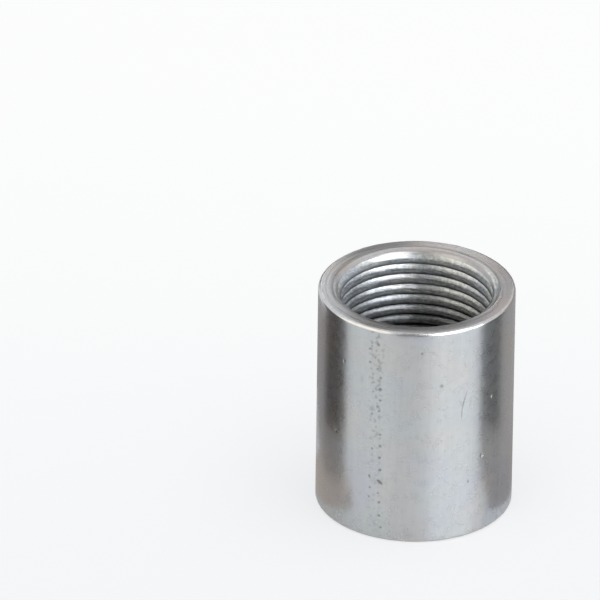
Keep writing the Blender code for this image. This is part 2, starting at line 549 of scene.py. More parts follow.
@dataclass
class PipeSocket:
    """The whole part: the blank, cut by the tap and marked by its making.

    The seam is the weld line. seam_turn counts in degrees from the front, to the right, seam_pitting
    and full_dark_depth are depths in millimetres, and each scale is a number of noise cells to the metre.
    """

    length: float
    outer_radius: float
    countersink_width: float = 1.15 * MILLIMETRE
    seam_turn: float = -23.8
    seam_half_width: float = 2.9 * MILLIMETRE
    seam_fade: Span = (0.85, 0.2)
    seam_pitting: float = 0.035
    seam_scale: float = 1450.0
    seam_onset: Span = (0.12, 0.5)
    seam_calm: float = 0.55
    # Dent depth in millimetres at which the skin is darkest.
    full_dark_depth: float = 0.06
    waviness: float = 0.006 * MILLIMETRE
    wave_scale: float = 210.0
    wave_squeeze: float = 0.6
    calm_end: float = 1.5 * MILLIMETRE
    end_in_radii: float = 1.7
    mark_reach: float = 1.6
    mark_room: float = 0.3 * MILLIMETRE
    fine_cuts: int = 3
    sharp_angle: float = math.radians(32)
    marks: tuple[Mark, ...] = WELD_LINE_MARKS + SKIN_MARKS
    tap: Tap = field(init=False)
    sleeve: Sleeve = field(init=False)

    def __post_init__(self) -> None:
        """Makes the tap and the blank from the socket's own sizes."""
        self.tap = Tap(length=self.length)
        self.sleeve = Sleeve(
            length=self.length,
            outer_radius=self.outer_radius,
            mouth_radius=self.tap.minor_radius + self.countersink_width,
            minor_radius=self.tap.minor_radius,
        )

    def build(self) -> bpy.types.Object:
        """Cuts the blank with the tap, then works the marks into its skin.

        Returns:
            The finished piece.
        """
        piece = self.sleeve.build()
        cutter = self.tap.build()
        self.cut(piece, cutter)
        shape = bmesh.new()
        shape.from_mesh(piece.data)
        self.refine_skin(shape)
        self.press_marks(shape)
        bmesh.ops.recalc_face_normals(shape, faces=shape.faces)
        shape.to_mesh(piece.data)
        shape.free()
        piece.data.shade_smooth()
        piece.data.set_sharp_from_angle(angle=self.sharp_angle)
        return piece

    def cut(self, piece: bpy.types.Object, cutter: bpy.types.Object) -> None:
        """Takes the cutter out of the piece and then deletes the cutter.

        Args:
            piece: The blank, whose mesh is replaced.
            cutter: The tap.
        """
        boolean = piece.modifiers.new("thread", "BOOLEAN")
        boolean.operation = "DIFFERENCE"
        boolean.solver = "EXACT"
        boolean.material_mode = "INDEX"
        boolean.object = cutter
        graph = bpy.context.evaluated_depsgraph_get()
        worked = bpy.data.meshes.new_from_object(piece.evaluated_get(graph))
        piece.modifiers.remove(boolean)
        blank = piece.data
        piece.data = worked
        worked.name = "socket_body"
        bpy.data.meshes.remove(blank)
        bpy.data.objects.remove(cutter, do_unlink=True)

    def turn_of(self, place: Vector) -> float:
        """Says where on the sleeve a point is, in degrees from the front, to the right."""
        return math.degrees(math.atan2(place.x, -place.y))

    def is_near_mark(self, place: Vector) -> bool:
        """Says whether a point of the skin lies close to a mark outside the weld line.

        Args:
            place: The point.

        Returns:
            True if the skin there needs small faces.
        """
        for mark in SKIN_MARKS:
            across = math.radians(self.turn_of(place) - mark.turn) * self.outer_radius
            up = place.z - mark.height * MILLIMETRE
            half = max(mark.width, mark.length) / 2 * MILLIMETRE + self.mark_room
            if abs(across) < half and abs(up) < half:
                return True
        return False

    def refine_skin(self, shape: bmesh.types.BMesh) -> None:
        """Splits the skin's faces along the weld line and round the other marks.

        Args:
            shape: The cut part.
        """
        skin = [face for face in shape.faces if face.material_index == Finish.SKIN]
        chosen: set[bmesh.types.BMEdge] = set()
        for face in skin:
            middle = face.calc_center_median()
            across = math.radians(self.turn_of(middle) - self.seam_turn) * self.outer_radius
            if abs(across) < self.seam_half_width or self.is_near_mark(middle):
                chosen.update(face.edges)
        edges = [edge for edge in shape.edges if edge in chosen]
        bmesh.ops.subdivide_edges(shape, edges=edges, cuts=self.fine_cuts, use_grid_fill=True)

    def seam_roughness(self, place: Vector) -> float:
        """Says how pitted the skin is at a point by the small pits that crowd along the weld line.

        Args:
            place: The point.

        Returns:
            A share from 0 to 1. It fades out to both sides of the line and down the sleeve.
        """
        across = math.radians(self.turn_of(place) - self.seam_turn) * self.outer_radius
        outside, inside = (self.seam_half_width * share for share in self.seam_fade)
        near = smooth_step(outside, inside, abs(across))
        if near <= 0.0:
            return 0.0
        lower = smooth_step(self.length, 0.0, place.z)
        small = noise.noise(place * self.seam_scale)
        return near * (1.0 - self.seam_calm * lower) * smooth_step(*self.seam_onset, small)

    def press_marks(self, shape: bmesh.types.BMesh) -> None:
        """Sets every point of the skin to its depth and notes how deep the marks are there.

        Args:
            shape: The cut part.
        """
        pitted = shape.verts.layers.float.new("pitted")
        on_skin = {
            vertex
            for face in shape.faces
            if face.material_index == Finish.SKIN
            for vertex in face.verts
        }
        for vertex in on_skin:
            radius = math.hypot(vertex.co.x, vertex.co.y)
            turn = self.turn_of(vertex.co)
            height = vertex.co.z / MILLIMETRE
            depth = 0.0
            for mark in self.marks:
                across = math.radians(turn - mark.turn) * self.outer_radius / MILLIMETRE
                up = height - mark.height
                reach = max(mark.width, mark.length) * self.mark_reach
                if abs(across) < reach and abs(up) < reach:
                    depth += mark.depth_at(across, up)
            depth += self.seam_pitting * self.seam_roughness(vertex.co)
            squeezed = Vector((vertex.co.x, vertex.co.y, vertex.co.z * self.wave_squeeze))
            waves = 0.5 + 0.5 * noise.noise(squeezed * self.wave_scale)
            from_end = min(vertex.co.z, self.length - vertex.co.z)
            kept = smooth_step(0.0, self.calm_end, from_end)
            target = self.outer_radius - kept * waves * self.waviness - depth * MILLIMETRE
            if from_end < self.sleeve.edge_radius * self.end_in_radii:
                target = min(radius, target)
            target = min(target, self.outer_radius)
            vertex.co.x *= target / radius
            vertex.co.y *= target / radius
            vertex[pitted] = min(1.0, max(0.0, depth / self.full_dark_depth))


# Materials


@dataclass
class Bench:
    """Adds nodes to one node tree and joins them."""

    tree: bpy.types.NodeTree

    def node(
        self, kind: str, inputs: dict[str | int, Value] | None = None, **settings: Value
    ) -> bpy.types.Node:
        """Adds a node.

        Args:
            kind: The node's type, such as "ShaderNodeMath".
            inputs: A value or an output socket for each input, by name or number.
            settings: Properties of the node itself.

        Returns:
            The node.
        """
        made = self.tree.nodes.new(kind)
        for name, value in settings.items():
            setattr(made, name, value)
        for name, value in (inputs or {}).items():
            if isinstance(value, bpy.types.NodeSocket):
                self.tree.links.new(value, made.inputs[name])
            else:
                made.inputs[name].default_value = value
        return made

    def maths(self, operation: str, *values: Value) -> bpy.types.NodeSocket:
        """Adds a Math node.

        Args:
            operation: The operation, such as "MULTIPLY".
            values: Numbers or sockets, in order.

        Returns:
            The result.
        """
        made = self.node("ShaderNodeMath", dict(enumerate(values)), operation=operation)
        return made.outputs[0]

    def product(self, *factors: Value) -> Value:
        """Multiplies values with each other.

        Args:
            factors: Numbers or sockets, in order.

        Returns:
            Their product.
        """
        result = factors[0]
        for factor in factors[1:]:
            result = self.maths("MULTIPLY", result, factor)
        return result

    def ramp(
        self, value: Value, low: float, high: float, to_low: float = 0.0, to_high: float = 1.0
    ) -> bpy.types.NodeSocket:
        """Maps a value smoothly from one range to another.

        Args:
            value: The socket to map.
            low: The value that becomes to_low.
            high: The value that becomes to_high.
            to_low: Result at low.
            to_high: Result at high.

        Returns:
            The result.
        """
        inputs = {"Value": value, "From Min": low, "From Max": high}
        inputs |= {"To Min": to_low, "To Max": to_high}
        made = self.node("ShaderNodeMapRange", inputs, interpolation_type="SMOOTHSTEP")
        return made.outputs["Result"]

    def eased(self, share: Value, limits: Span) -> bpy.types.NodeSocket:
        """Maps a share from 0 to 1 smoothly onto a range."""
        return self.ramp(share, 0.0, 1.0, *limits)

    def scaled(self, share: Value, limits: Span) -> bpy.types.NodeSocket:
        """Maps a share from 0 to 1 evenly onto a range."""
        return self.maths("MULTIPLY_ADD", share, limits[1] - limits[0], limits[0])

    def vector(self, operation: str, first: Value, second: Value) -> bpy.types.NodeSocket:
        """Adds a Vector Math node that gives a vector.

        Args:
            operation: The operation, such as "ADD".
            first: The vector to work on.
            second: The other vector, or the factor of "SCALE".

        Returns:
            The new vector.
        """
        slot = 3 if operation == "SCALE" else 1
        made = self.node("ShaderNodeVectorMath", {0: first, slot: second}, operation=operation)
        return made.outputs[0]

    def length(self, vector: Value) -> bpy.types.NodeSocket:
        """Measures a vector."""
        return self.node("ShaderNodeVectorMath", {0: vector}, operation="LENGTH").outputs[1]

    def parts(self, vector: Value) -> bpy.types.NodeOutputs:
        """Splits a vector into its X, Y and Z."""
        return self.node("ShaderNodeSeparateXYZ", {0: vector}).outputs

    def combine(self, **parts: Value) -> bpy.types.NodeSocket:
        """Joins X, Y and Z into a vector, with 0 for what isn't given."""
        return self.node("ShaderNodeCombineXYZ", parts).outputs[0]

    def blend(self, share: Value, first: Value, second: Value) -> bpy.types.NodeSocket:
        """Mixes two colours.

        Args:
            share: Share of the second colour.
            first: Colour at 0.
            second: Colour at 1.

        Returns:
            The mixed colour.
        """
        made = self.node("ShaderNodeMix", {0: share, 6: first, 7: second}, data_type="RGBA")
        return made.outputs[2]

    def darken(self, colour: Value, amount: Value) -> bpy.types.NodeSocket:
        """Multiplies a colour by a grey value."""
        return self.vector("SCALE", colour, amount)

    def grain(
        self, place: Value, scale: Value, detail: float, roughness: float = 0.5
    ) -> bpy.types.NodeSocket:
        """Adds noise.

        Args:
            place: The position to read, in metres.
            scale: Number of grains to the metre.
            detail: How many finer layers it has.
            roughness: Strength of each finer layer, as a share of the one before it.

        Returns:
            The noise, about 0.5 on average.
        """
        inputs = {"Vector": place, "Scale": scale, "Detail": detail, "Roughness": roughness}
        return self.node("ShaderNodeTexNoise", inputs).outputs["Fac"]


class ShaderGroup:
    """A node group that is built once, for the finishes to place where they need it.

    takes and gives hold the kind of each input and output by its name.
    """

    name: str = ""
    takes: dict[str, str] = {}
    gives: dict[str, str] = {}

    def __init__(self) -> None:
        """Builds the group's sockets and nodes."""
        self.tree = bpy.data.node_groups.new(self.name, "ShaderNodeTree")
        for way, sockets in (("INPUT", self.takes), ("OUTPUT", self.gives)):
            for name, kind in sockets.items():
                self.tree.interface.new_socket(name, in_out=way, socket_type=kind)
        bench = Bench(self.tree)
        given = bench.node("NodeGroupInput").outputs
        bench.node("NodeGroupOutput", self.draw(bench, given))

    def draw(self, bench: Bench, given: bpy.types.NodeOutputs) -> dict[str, Value]:
        """Adds the group's own nodes.

        Args:
            bench: The bench for the group's tree.
            given: The group's inputs.

        Returns:
            A socket for each of the group's outputs.
        """
        raise NotImplementedError

    def use(self, bench: Bench, **inputs: Value) -> bpy.types.NodeOutputs:
        """Places the group in a material.

        Args:
            bench: The bench for the material's tree.
            inputs: Values or sockets by input name, with _ for each space.

        Returns:
            The outputs of the placed group.
        """
        named = {name.replace("_", " "): value for name, value in inputs.items()}
        return bench.node("ShaderNodeGroup", named, node_tree=self.tree).outputs


class PlatingTone(ShaderGroup):
    """Soft patches of cooler and warmer zinc, as the bath and the passivation leave them."""

    name = "plating_tone"
    takes = {
        "Position": "NodeSocketVector",
        "Zinc": "NodeSocketColor",
        "Cool": "NodeSocketColor",
        "Warm": "NodeSocketColor",
        "Patch Size": "NodeSocketFloat",
        "Contrast": "NodeSocketFloat",
    }
    gives = {"Colour": "NodeSocketColor"}
    detail: float = 1.5
    cool_limits: Span = (0.42, 0.62)
    warm_limits: Span = (0.46, 0.66)
    warm_offset: Triple = (0.31, 0.17, 0.53)

    def draw(self, bench: Bench, given: bpy.types.NodeOutputs) -> dict[str, Value]:
        """Mixes the zinc with a cool and a warm tone by two sets of patches.

        Args:
            bench: The bench for the group's tree.
            given: The group's inputs.

        Returns:
            The toned colour.
        """
        scale = bench.maths("DIVIDE", 1.0, given["Patch Size"])
        moved = bench.vector("ADD", given["Position"], self.warm_offset)
        cool = bench.ramp(bench.grain(given["Position"], scale, self.detail), *self.cool_limits)
        warm = bench.ramp(bench.grain(moved, scale, self.detail), *self.warm_limits)
        cool_share = bench.product(cool, given["Contrast"])
        warm_share = bench.product(warm, given["Contrast"])
        toned = bench.blend(cool_share, given["Zinc"], given["Cool"])
        return {"Colour": bench.blend(warm_share, toned, given["Warm"])}


class Mottle(ShaderGroup):
    """The fine uneven grain of electroplated zinc."""

    name = "zinc_mottle"
    takes = {"Position": "NodeSocketVector", "Grain Size": "NodeSocketFloat"}
    gives = {"Height": "NodeSocketFloat", "Shade": "NodeSocketFloat"}
    coarse_detail: float = 3.0
    coarse_roughness: float = 0.6
    fine_detail: float = 2.0
    fine_factor: float = 3.1
    fine_share: float = 0.35
    shade_limits: Span = (0.3, 0.7)

    def draw(self, bench: Bench, given: bpy.types.NodeOutputs) -> dict[str, Value]:
        """Takes coarse grain for shade and adds finer grain for height.

        Args:
            bench: The bench for the group's tree.
            given: The group's inputs.

        Returns:
            The height and the shade, both from 0 to 1.
        """
        place = given["Position"]
        scale = bench.maths("DIVIDE", 1.0, given["Grain Size"])
        coarse = bench.grain(place, scale, self.coarse_detail, self.coarse_roughness)
        fine = bench.grain(place, bench.product(scale, self.fine_factor), self.fine_detail)
        rest = bench.product(coarse, 1.0 - self.fine_share)
        height = bench.maths("MULTIPLY_ADD", fine, self.fine_share, rest)
        return {"Height": height, "Shade": bench.ramp(coarse, *self.shade_limits)}


class ToolMarks(ShaderGroup):
    """Lines that a tool or a die leaves, drawn along whatever the path keeps constant."""

    name = "tool_marks"
    takes = {"Path": "NodeSocketVector", "Spacing": "NodeSocketFloat"}
    gives = {"Height": "NodeSocketFloat", "Shade": "NodeSocketFloat"}
    detail: float = 2.5
    roughness: float = 0.65
    shade_limits: Span = (0.35, 0.65)

    def draw(self, bench: Bench, given: bpy.types.NodeOutputs) -> dict[str, Value]:
        """Reads noise along the path.

        Args:
            bench: The bench for the group's tree.
            given: The group's inputs.

        Returns:
            The height and the shade, both from 0 to 1.
        """
        scale = bench.maths("DIVIDE", 1.0, given["Spacing"])
        lines = bench.grain(given["Path"], scale, self.detail, self.roughness)
        return {"Height": lines, "Shade": bench.ramp(lines, *self.shade_limits)}


class EdgeWear(ShaderGroup):
    """A broken bright line where an edge has rubbed through the matt top layer."""

    name = "edge_wear"
    takes = {
        "Position": "NodeSocketVector",
        "Distance": "NodeSocketFloat",
        "Width": "NodeSocketFloat",
    }
    gives = {"Mask": "NodeSocketFloat"}
    break_length: float = 1.6 * MILLIMETRE
    break_detail: float = 3.0
    break_limits: Span = (0.35, 0.65)
    width_factors: Span = (0.5, 1.4)
    edge_softness: Span = (0.7, 1.3)

    def draw(self, bench: Bench, given: bpy.types.NodeOutputs) -> dict[str, Value]:
        """Lets noise widen and narrow the line.

        Args:
            bench: The bench for the group's tree.
            given: The group's inputs.

        Returns:
            The mask: 1 on the line and 0 beside it.
        """
        breaks = bench.grain(given["Position"], 1.0 / self.break_length, self.break_detail)
        uneven = bench.ramp(breaks, *self.break_limits, *self.width_factors)
        share = bench.maths("DIVIDE", given["Distance"], bench.product(given["Width"], uneven))
        return {"Mask": bench.ramp(share, *self.edge_softness, 1.0, 0.0)}


@dataclass
class Groups:
    """The node groups from which the finishes are made."""

    tone: PlatingTone
    mottle: Mottle
    marks: ToolMarks
    wear: EdgeWear

    @classmethod
    def build(cls) -> "Groups":
        """Builds every group once."""
        return cls(PlatingTone(), Mottle(), ToolMarks(), EdgeWear())


@dataclass(frozen=True, kw_only=True)
class ZincFinish:
    """What all three finishes of the socket share.

    Sizes, heights and places are metres. A shade is a factor on the colour, and a pair of shades is
    for the least and the most of what it is named after.
    """

    name: str
    zinc: Colour
    cool: Colour
    warm: Colour
    patch_size: float
    contrast: float
    roughness: float
    grain_size: float
    grain_shade: Span
    grain_height: float

    def start(self) -> tuple[bpy.types.Material, Bench, bpy.types.NodeSocket]:
        """Makes an empty metal material.

        Returns:
            The material, a bench for its tree, and the position on the piece.
        """
        material = bpy.data.materials.new(self.name)
        material.use_nodes = True
        bench = Bench(material.node_tree)
        shader = self.shader(bench)
        shader.inputs["Metallic"].default_value = 1.0
        place = bench.node("ShaderNodeTexCoord").outputs["Object"]
        return material, bench, place

    def shader(self, bench: Bench) -> bpy.types.Node:
        """Finds the material's Principled shader."""
        return bench.tree.nodes["Principled BSDF"]

    def toned(self, bench: Bench, groups: Groups, place: Value, zinc: Value) -> Value:
        """Lays cooler and warmer patches over the zinc.

        Args:
            bench: The bench for the material's tree.
            groups: The node groups.
            place: The position on the piece.
            zinc: The colour between the patches.

        Returns:
            The colour.
        """
        placed = groups.tone.use(
            bench,
            Position=place,
            Zinc=zinc,
            Cool=self.cool,
            Warm=self.warm,
            Patch_Size=self.patch_size,
            Contrast=self.contrast,
        )
        return placed["Colour"]

    def uneven_roughness(self, bench: Bench, share: Value, spread: float) -> Value:
        """Spreads the roughness by a share from 0 to 1, around the finish's own value."""
        return bench.maths("MULTIPLY_ADD", share, spread, self.roughness - spread / 2)

    def bump(self, bench: Bench, heights: Sequence[tuple[Value, float]]) -> None:
        """Stacks bump nodes and feeds them to the shader's normal.

        Args:
            bench: The bench for the material's tree.
            heights: A height from 0 to 1 and its size in metres, for each layer.
        """
        normal: Value = None
        for height, size in heights:
            inputs = {"Height": height, "Distance": size, "Strength": 1.0}
            if normal is not None:
                inputs["Normal"] = normal
            normal = bench.node("ShaderNodeBump", inputs).outputs[0]
        bench.tree.links.new(normal, self.shader(bench).inputs["Normal"])

    def feed(self, bench: Bench, **sockets: Value) -> None:
        """Joins sockets to the shader's inputs, named with _ for each space."""
        for name, value in sockets.items():
            bench.tree.links.new(value, self.shader(bench).inputs[name.replace("_", " ")])


@dataclass(frozen=True, kw_only=True)
class DrawnSkin(ZincFinish):
    """Zinc over the drawn outside of the tube, with draw lines, mottling, and dents and pits
    that are darker the deeper they are.
    """

    name: str = "zinc_on_drawn_skin"
    zinc: Colour = (0.508, 0.538, 0.553, 1.0)
    cool: Colour = (0.497, 0.521, 0.572, 1.0)
    warm: Colour = (0.530, 0.534, 0.536, 1.0)
    patch_size: float = 11 * MILLIMETRE
    contrast: float = 0.8
    roughness: float = 0.29
    grain_size: float = 1.7 * MILLIMETRE
    grain_shade: Span = (0.96, 1.02)
    grain_height: float = 8 * MICROMETRE
    grain_roughness: float = 0.05
    line_spacing: float = 1.1 * MILLIMETRE
    line_squeeze: float = 0.06
    line_shade: Span = (0.985, 1.015)
    line_height: float = 5 * MICROMETRE
    # The skin turns towards this colour the deeper its dent or pit.
    dent_dark: Colour = (0.20, 0.19, 0.18, 1.0)
    dent_darkening: float = 0.75
    pit_roughness: float = 0.12

    def make(self, groups: Groups) -> bpy.types.Material:
        """Builds the material.

        Args:
            groups: The node groups.

        Returns:
            The material.
        """
        material, bench, place = self.start()
        mottle = groups.mottle.use(bench, Position=place, Grain_Size=self.grain_size)
        squeezed = bench.vector("MULTIPLY", place, (1.0, 1.0, self.line_squeeze))
        drawn = groups.marks.use(bench, Path=squeezed, Spacing=self.line_spacing)
        shade = bench.product(
            bench.scaled(mottle["Shade"], self.grain_shade),
            bench.eased(drawn["Shade"], self.line_shade),
        )
        colour = bench.darken(self.toned(bench, groups, place, self.zinc), shade)
        pits = bench.node("ShaderNodeAttribute", attribute_name="pitted").outputs["Fac"]
        # Darker the deeper the dent or pit.
        colour = bench.blend(bench.product(pits, self.dent_darkening), colour, self.dent_dark)
        rough = self.uneven_roughness(bench, mottle["Shade"], self.grain_roughness)
        rough = bench.maths("MULTIPLY_ADD", pits, self.pit_roughness, rough)
        self.feed(bench, Base_Color=colour, Roughness=rough)
        layers = ((drawn["Height"], self.line_height), (mottle["Height"], self.grain_height))
        self.bump(bench, layers)
        return material


@dataclass(frozen=True, kw_only=True)
class TurnedEnd(ZincFinish):
    """Zinc over the turned end faces, edges and countersinks, with rings left by the tool.

    The mouth's rounding carries painted shade, and the front of the flat ring a wider painted darker
    reflection. Each reach is from one distance from the bore's axis to another, and the front fade
    runs from the front of the part backwards.
    """

    outer_radius: float
    name: str = "zinc_on_turned_end"
    zinc: Colour = (0.560, 0.555, 0.550, 1.0)
    cool: Colour = (0.530, 0.540, 0.560, 1.0)
    warm: Colour = (0.590, 0.550, 0.535, 1.0)
    patch_size: float = 13 * MILLIMETRE
    contrast: float = 0.85
    roughness: float = 0.30
    grain_size: float = 0.7 * MILLIMETRE
    grain_shade: Span = (0.96, 1.03)
    grain_height: float = 6 * MICROMETRE
    ring_spacing: float = 0.5 * MILLIMETRE
    ring_wander: float = 0.6 * MILLIMETRE
    ring_shade: Span = (0.92, 1.05)
    ring_height: float = 9 * MICROMETRE
    ring_roughness: float = 0.08
    worn_width: float = 0.5 * MILLIMETRE
    worn_shade: float = 0.07
    worn_roughness: float = -0.07
    # Painted shade on the mouth's rounding, from one distance from the axis to another.
    mouth_shade_reach: Span = (15.4 * MILLIMETRE, 16.6 * MILLIMETRE)
    mouth_shade_factor: float = 0.70
    # Painted darker reflection across the front of the flat ring, fading out towards the back.
    front_reflection_reach: Span = (16.3 * MILLIMETRE, 19.4 * MILLIMETRE)
    front_reflection_shade: float = 0.30
    front_reflection_fade: Span = (-17 * MILLIMETRE, -9 * MILLIMETRE)

    def painted_mouth_shade(self, bench: Bench, place: Value, radius: Value) -> Value:
        """Paints shade on the mouth's rounding, and a wider painted darker reflection at the front.

        Args:
            bench: The bench for the material's tree.
            place: The position on the piece.
            radius: Distance from the bore's axis.

        Returns:
            A grey value to multiply the colour by.
        """
        painted_mouth_shade = bench.ramp(radius, *self.mouth_shade_reach, self.mouth_shade_factor, 1.0)
        # Painted darker reflection at the front of the flat ring.
        front_reflection = bench.ramp(radius, *self.front_reflection_reach, self.front_reflection_shade, 1.0)
        front = bench.ramp(bench.parts(place)["Y"], *self.front_reflection_fade, 1.0, 0.0)
        taken = bench.product(front, bench.maths("SUBTRACT", 1.0, front_reflection))
        return bench.product(painted_mouth_shade, bench.maths("SUBTRACT", 1.0, taken))

    def ring_path(self, bench: Bench, flat: Value, across: Value) -> Value:
        """Makes the path of the tool's rings, which changes fast outwards and slowly around.

        Args:
            bench: The bench for the material's tree.
            flat: The position without its height.
            across: What grows from ring to ring.

        Returns:
            The path as a vector.
        """
        unit = bench.node("ShaderNodeVectorMath", {0: flat}, operation="NORMALIZE").outputs[0]
        around = bench.vector("SCALE", unit, self.ring_wander)
        return bench.vector("ADD", around, bench.combine(Z=across))

    def make(self, groups: Groups) -> bpy.types.Material:
        """Builds the material.

        Args:
            groups: The node groups.

        Returns:
            The material.
        """
        material, bench, place = self.start()
        parts = bench.parts(place)
        flat = bench.combine(X=parts["X"], Y=parts["Y"])
        radius = bench.length(flat)
        path = self.ring_path(bench, flat, bench.maths("ADD", radius, parts["Z"]))
        rings = groups.marks.use(bench, Path=path, Spacing=self.ring_spacing)
        mottle = groups.mottle.use(bench, Position=place, Grain_Size=self.grain_size)
        from_skin = bench.maths("SUBTRACT", self.outer_radius, radius)
        worn = groups.wear.use(bench, Position=place, Distance=from_skin, Width=self.worn_width)
        shade = bench.product(
            bench.eased(rings["Shade"], self.ring_shade),
            bench.eased(mottle["Shade"], self.grain_shade),
        )
        shade = bench.maths("MULTIPLY_ADD", worn["Mask"], self.worn_shade, shade)
        # Painted shade on the mouth's rounding and a painted darker reflection across the front of
        # the ring.
        shade = bench.product(shade, self.painted_mouth_shade(bench, place, radius))
        colour = bench.darken(self.toned(bench, groups, place, self.zinc), shade)
        rough = self.uneven_roughness(bench, rings["Shade"], self.ring_roughness)
        rough = bench.maths("MULTIPLY_ADD", worn["Mask"], self.worn_roughness, rough)
        self.feed(bench, Base_Color=colour, Roughness=rough)
        layers = ((rings["Height"], self.ring_height), (mottle["Height"], self.grain_height))
        self.bump(bench, layers)
        return material


@dataclass(frozen=True, kw_only=True)
class CutThread(ZincFinish):
    """The cut thread: bright roots and flanks, and torn crests with painted shade.

    The zinc is painted yellower and lighter to the right, as a painted warm reflection. Deep in the
    bore it is darkened by painted shade, and the crests' painted shade is strongest there and to the
    right. A reach across is measured from the middle to the right, a depth from the nearer mouth, and
    a phase in shares of the pitch.
    """

    length: float
    pitch: float
    runout_angle: float
    name: str = "zinc_on_cut_thread"
    zinc: Colour = (0.565, 0.596, 0.636, 1.0)
    # Painted warm reflection: yellower, lighter zinc on the right side of the thread.
    painted_warm_side: Colour = (0.628, 0.640, 0.620, 1.0)
    painted_warm_across: Span = (-12 * MILLIMETRE, 12 * MILLIMETRE)
    cool: Colour = (0.545, 0.590, 0.660, 1.0)
    warm: Colour = (0.640, 0.646, 0.612, 1.0)
    patch_size: float = 7 * MILLIMETRE
    contrast: float = 0.45
    roughness: float = 0.325
    grain_size: float = 0.7 * MILLIMETRE
    grain_shade: Span = (0.80, 1.12)
    grain_height: float = 50 * MICROMETRE
    cut_spacing: float = 0.16 * MILLIMETRE
    cut_circle: float = 0.37 * MILLIMETRE
    cut_drift: float = 0.09
    cut_shade: Span = (0.88, 1.10)
    cut_height: float = 20 * MICROMETRE
    cut_roughness: float = 0.06
    # Painted shade deep in the bore, from one depth to another.
    deep_shade_depth: Span = (8 * MILLIMETRE, 20 * MILLIMETRE)
    deep_shade_factors: Span = (1.0, 0.16)
    crest_phase: float = 0.46
    crest_reach: Span = (0.04, 0.20)
    # Painted shade on the crests, strongest deep in the bore and to the right.
    crest_shade_depth: Span = (6 * MILLIMETRE, 15 * MILLIMETRE)
    crest_shade_loss: Span = (-0.78, -0.94)
    crest_shade_across: Span = (-10 * MILLIMETRE, 3 * MILLIMETRE)
    crest_shade_side_factors: Span = (0.84, 1.04)
    torn_limits: Span = (0.25, 0.75)
    torn_shade: Span = (1.0, 0.85)
    torn_roughness: float = 0.16

    def phase(self, bench: Bench, parts: bpy.types.NodeOutputs) -> Value:
        """Says where in its pitch a point of the thread lies: 0 at the root.

        Args:
            bench: The bench for the material's tree.
            parts: X, Y and Z of the position on the piece.

        Returns:
            The share of the pitch above the root.
        """
        angle = bench.maths("ARCTAN2", parts["Y"], parts["X"])
        turned = bench.maths("DIVIDE", bench.maths("SUBTRACT", angle, self.runout_angle), 2 * math.pi)
        below_face = bench.maths("SUBTRACT", parts["Z"], self.length)
        risen = bench.maths("DIVIDE", below_face, self.pitch)
        return bench.maths("FRACT", bench.maths("SUBTRACT", risen, turned))

    def cut_path(self, bench: Bench, place: Value, phase: Value) -> Value:
        """Makes the path of the tap's cuts, which goes round a circle once in each pitch.

        Args:
            bench: The bench for the material's tree.
            place: The position on the piece, which lets the path drift slowly along the thread.
            phase: The share of the pitch above the root.

        Returns:
            The path as a vector.
        """
        angle = bench.product(phase, 2 * math.pi)
        circle = bench.combine(X=bench.maths("COSINE", angle), Y=bench.maths("SINE", angle))
        drift = bench.vector("SCALE", place, self.cut_drift)
        return bench.vector("ADD", bench.vector("SCALE", circle, self.cut_circle), drift)

    def make(self, groups: Groups) -> bpy.types.Material:
        """Builds the material.

        Args:
            groups: The node groups.

        Returns:
            The material.
        """
        material, bench, place = self.start()
        parts = bench.parts(place)
        across, height = parts["X"], parts["Z"]
        phase = self.phase(bench, parts)
        path = self.cut_path(bench, place, phase)
        cuts = groups.marks.use(bench, Path=path, Spacing=self.cut_spacing)
        mottle = groups.mottle.use(bench, Position=place, Grain_Size=self.grain_size)
        from_crest = bench.maths("ABSOLUTE", bench.maths("SUBTRACT", phase, self.crest_phase))
        crest = bench.ramp(from_crest, *self.crest_reach, 1.0, 0.0)
        torn = bench.product(crest, bench.ramp(mottle["Shade"], *self.torn_limits))
        depth = bench.maths("MINIMUM", height, bench.maths("SUBTRACT", self.length, height))
        # Painted shade on the crests, strongest deep in the bore and to the right.
        crest_shade = bench.product(
            bench.ramp(depth, *self.crest_shade_depth, *self.crest_shade_loss),
            bench.ramp(across, *self.crest_shade_across, *self.crest_shade_side_factors),
        )
        shade = bench.product(
            bench.eased(cuts["Shade"], self.cut_shade),
            bench.eased(mottle["Shade"], self.grain_shade),
            # Painted shade on the crests.
            bench.maths("MULTIPLY_ADD", crest, crest_shade, 1.0),
            bench.eased(torn, self.torn_shade),
            # Painted shade deep in the bore.
            bench.ramp(depth, *self.deep_shade_depth, *self.deep_shade_factors),
        )
        # Painted warm reflection: the zinc turns yellower and lighter to the right.
        zinc = bench.blend(bench.ramp(across, *self.painted_warm_across), self.zinc, self.painted_warm_side)
        colour = bench.darken(self.toned(bench, groups, place, zinc), shade)
        rough = bench.maths("MULTIPLY_ADD", torn, self.torn_roughness, self.roughness)
        rough = bench.maths("MULTIPLY_ADD", cuts["Shade"], self.cut_roughness, rough)
        self.feed(bench, Base_Color=colour, Roughness=rough)
        layers = ((cuts["Height"], self.cut_height), (mottle["Height"], self.grain_height))
        self.bump(bench, layers)
        return material


# Studio


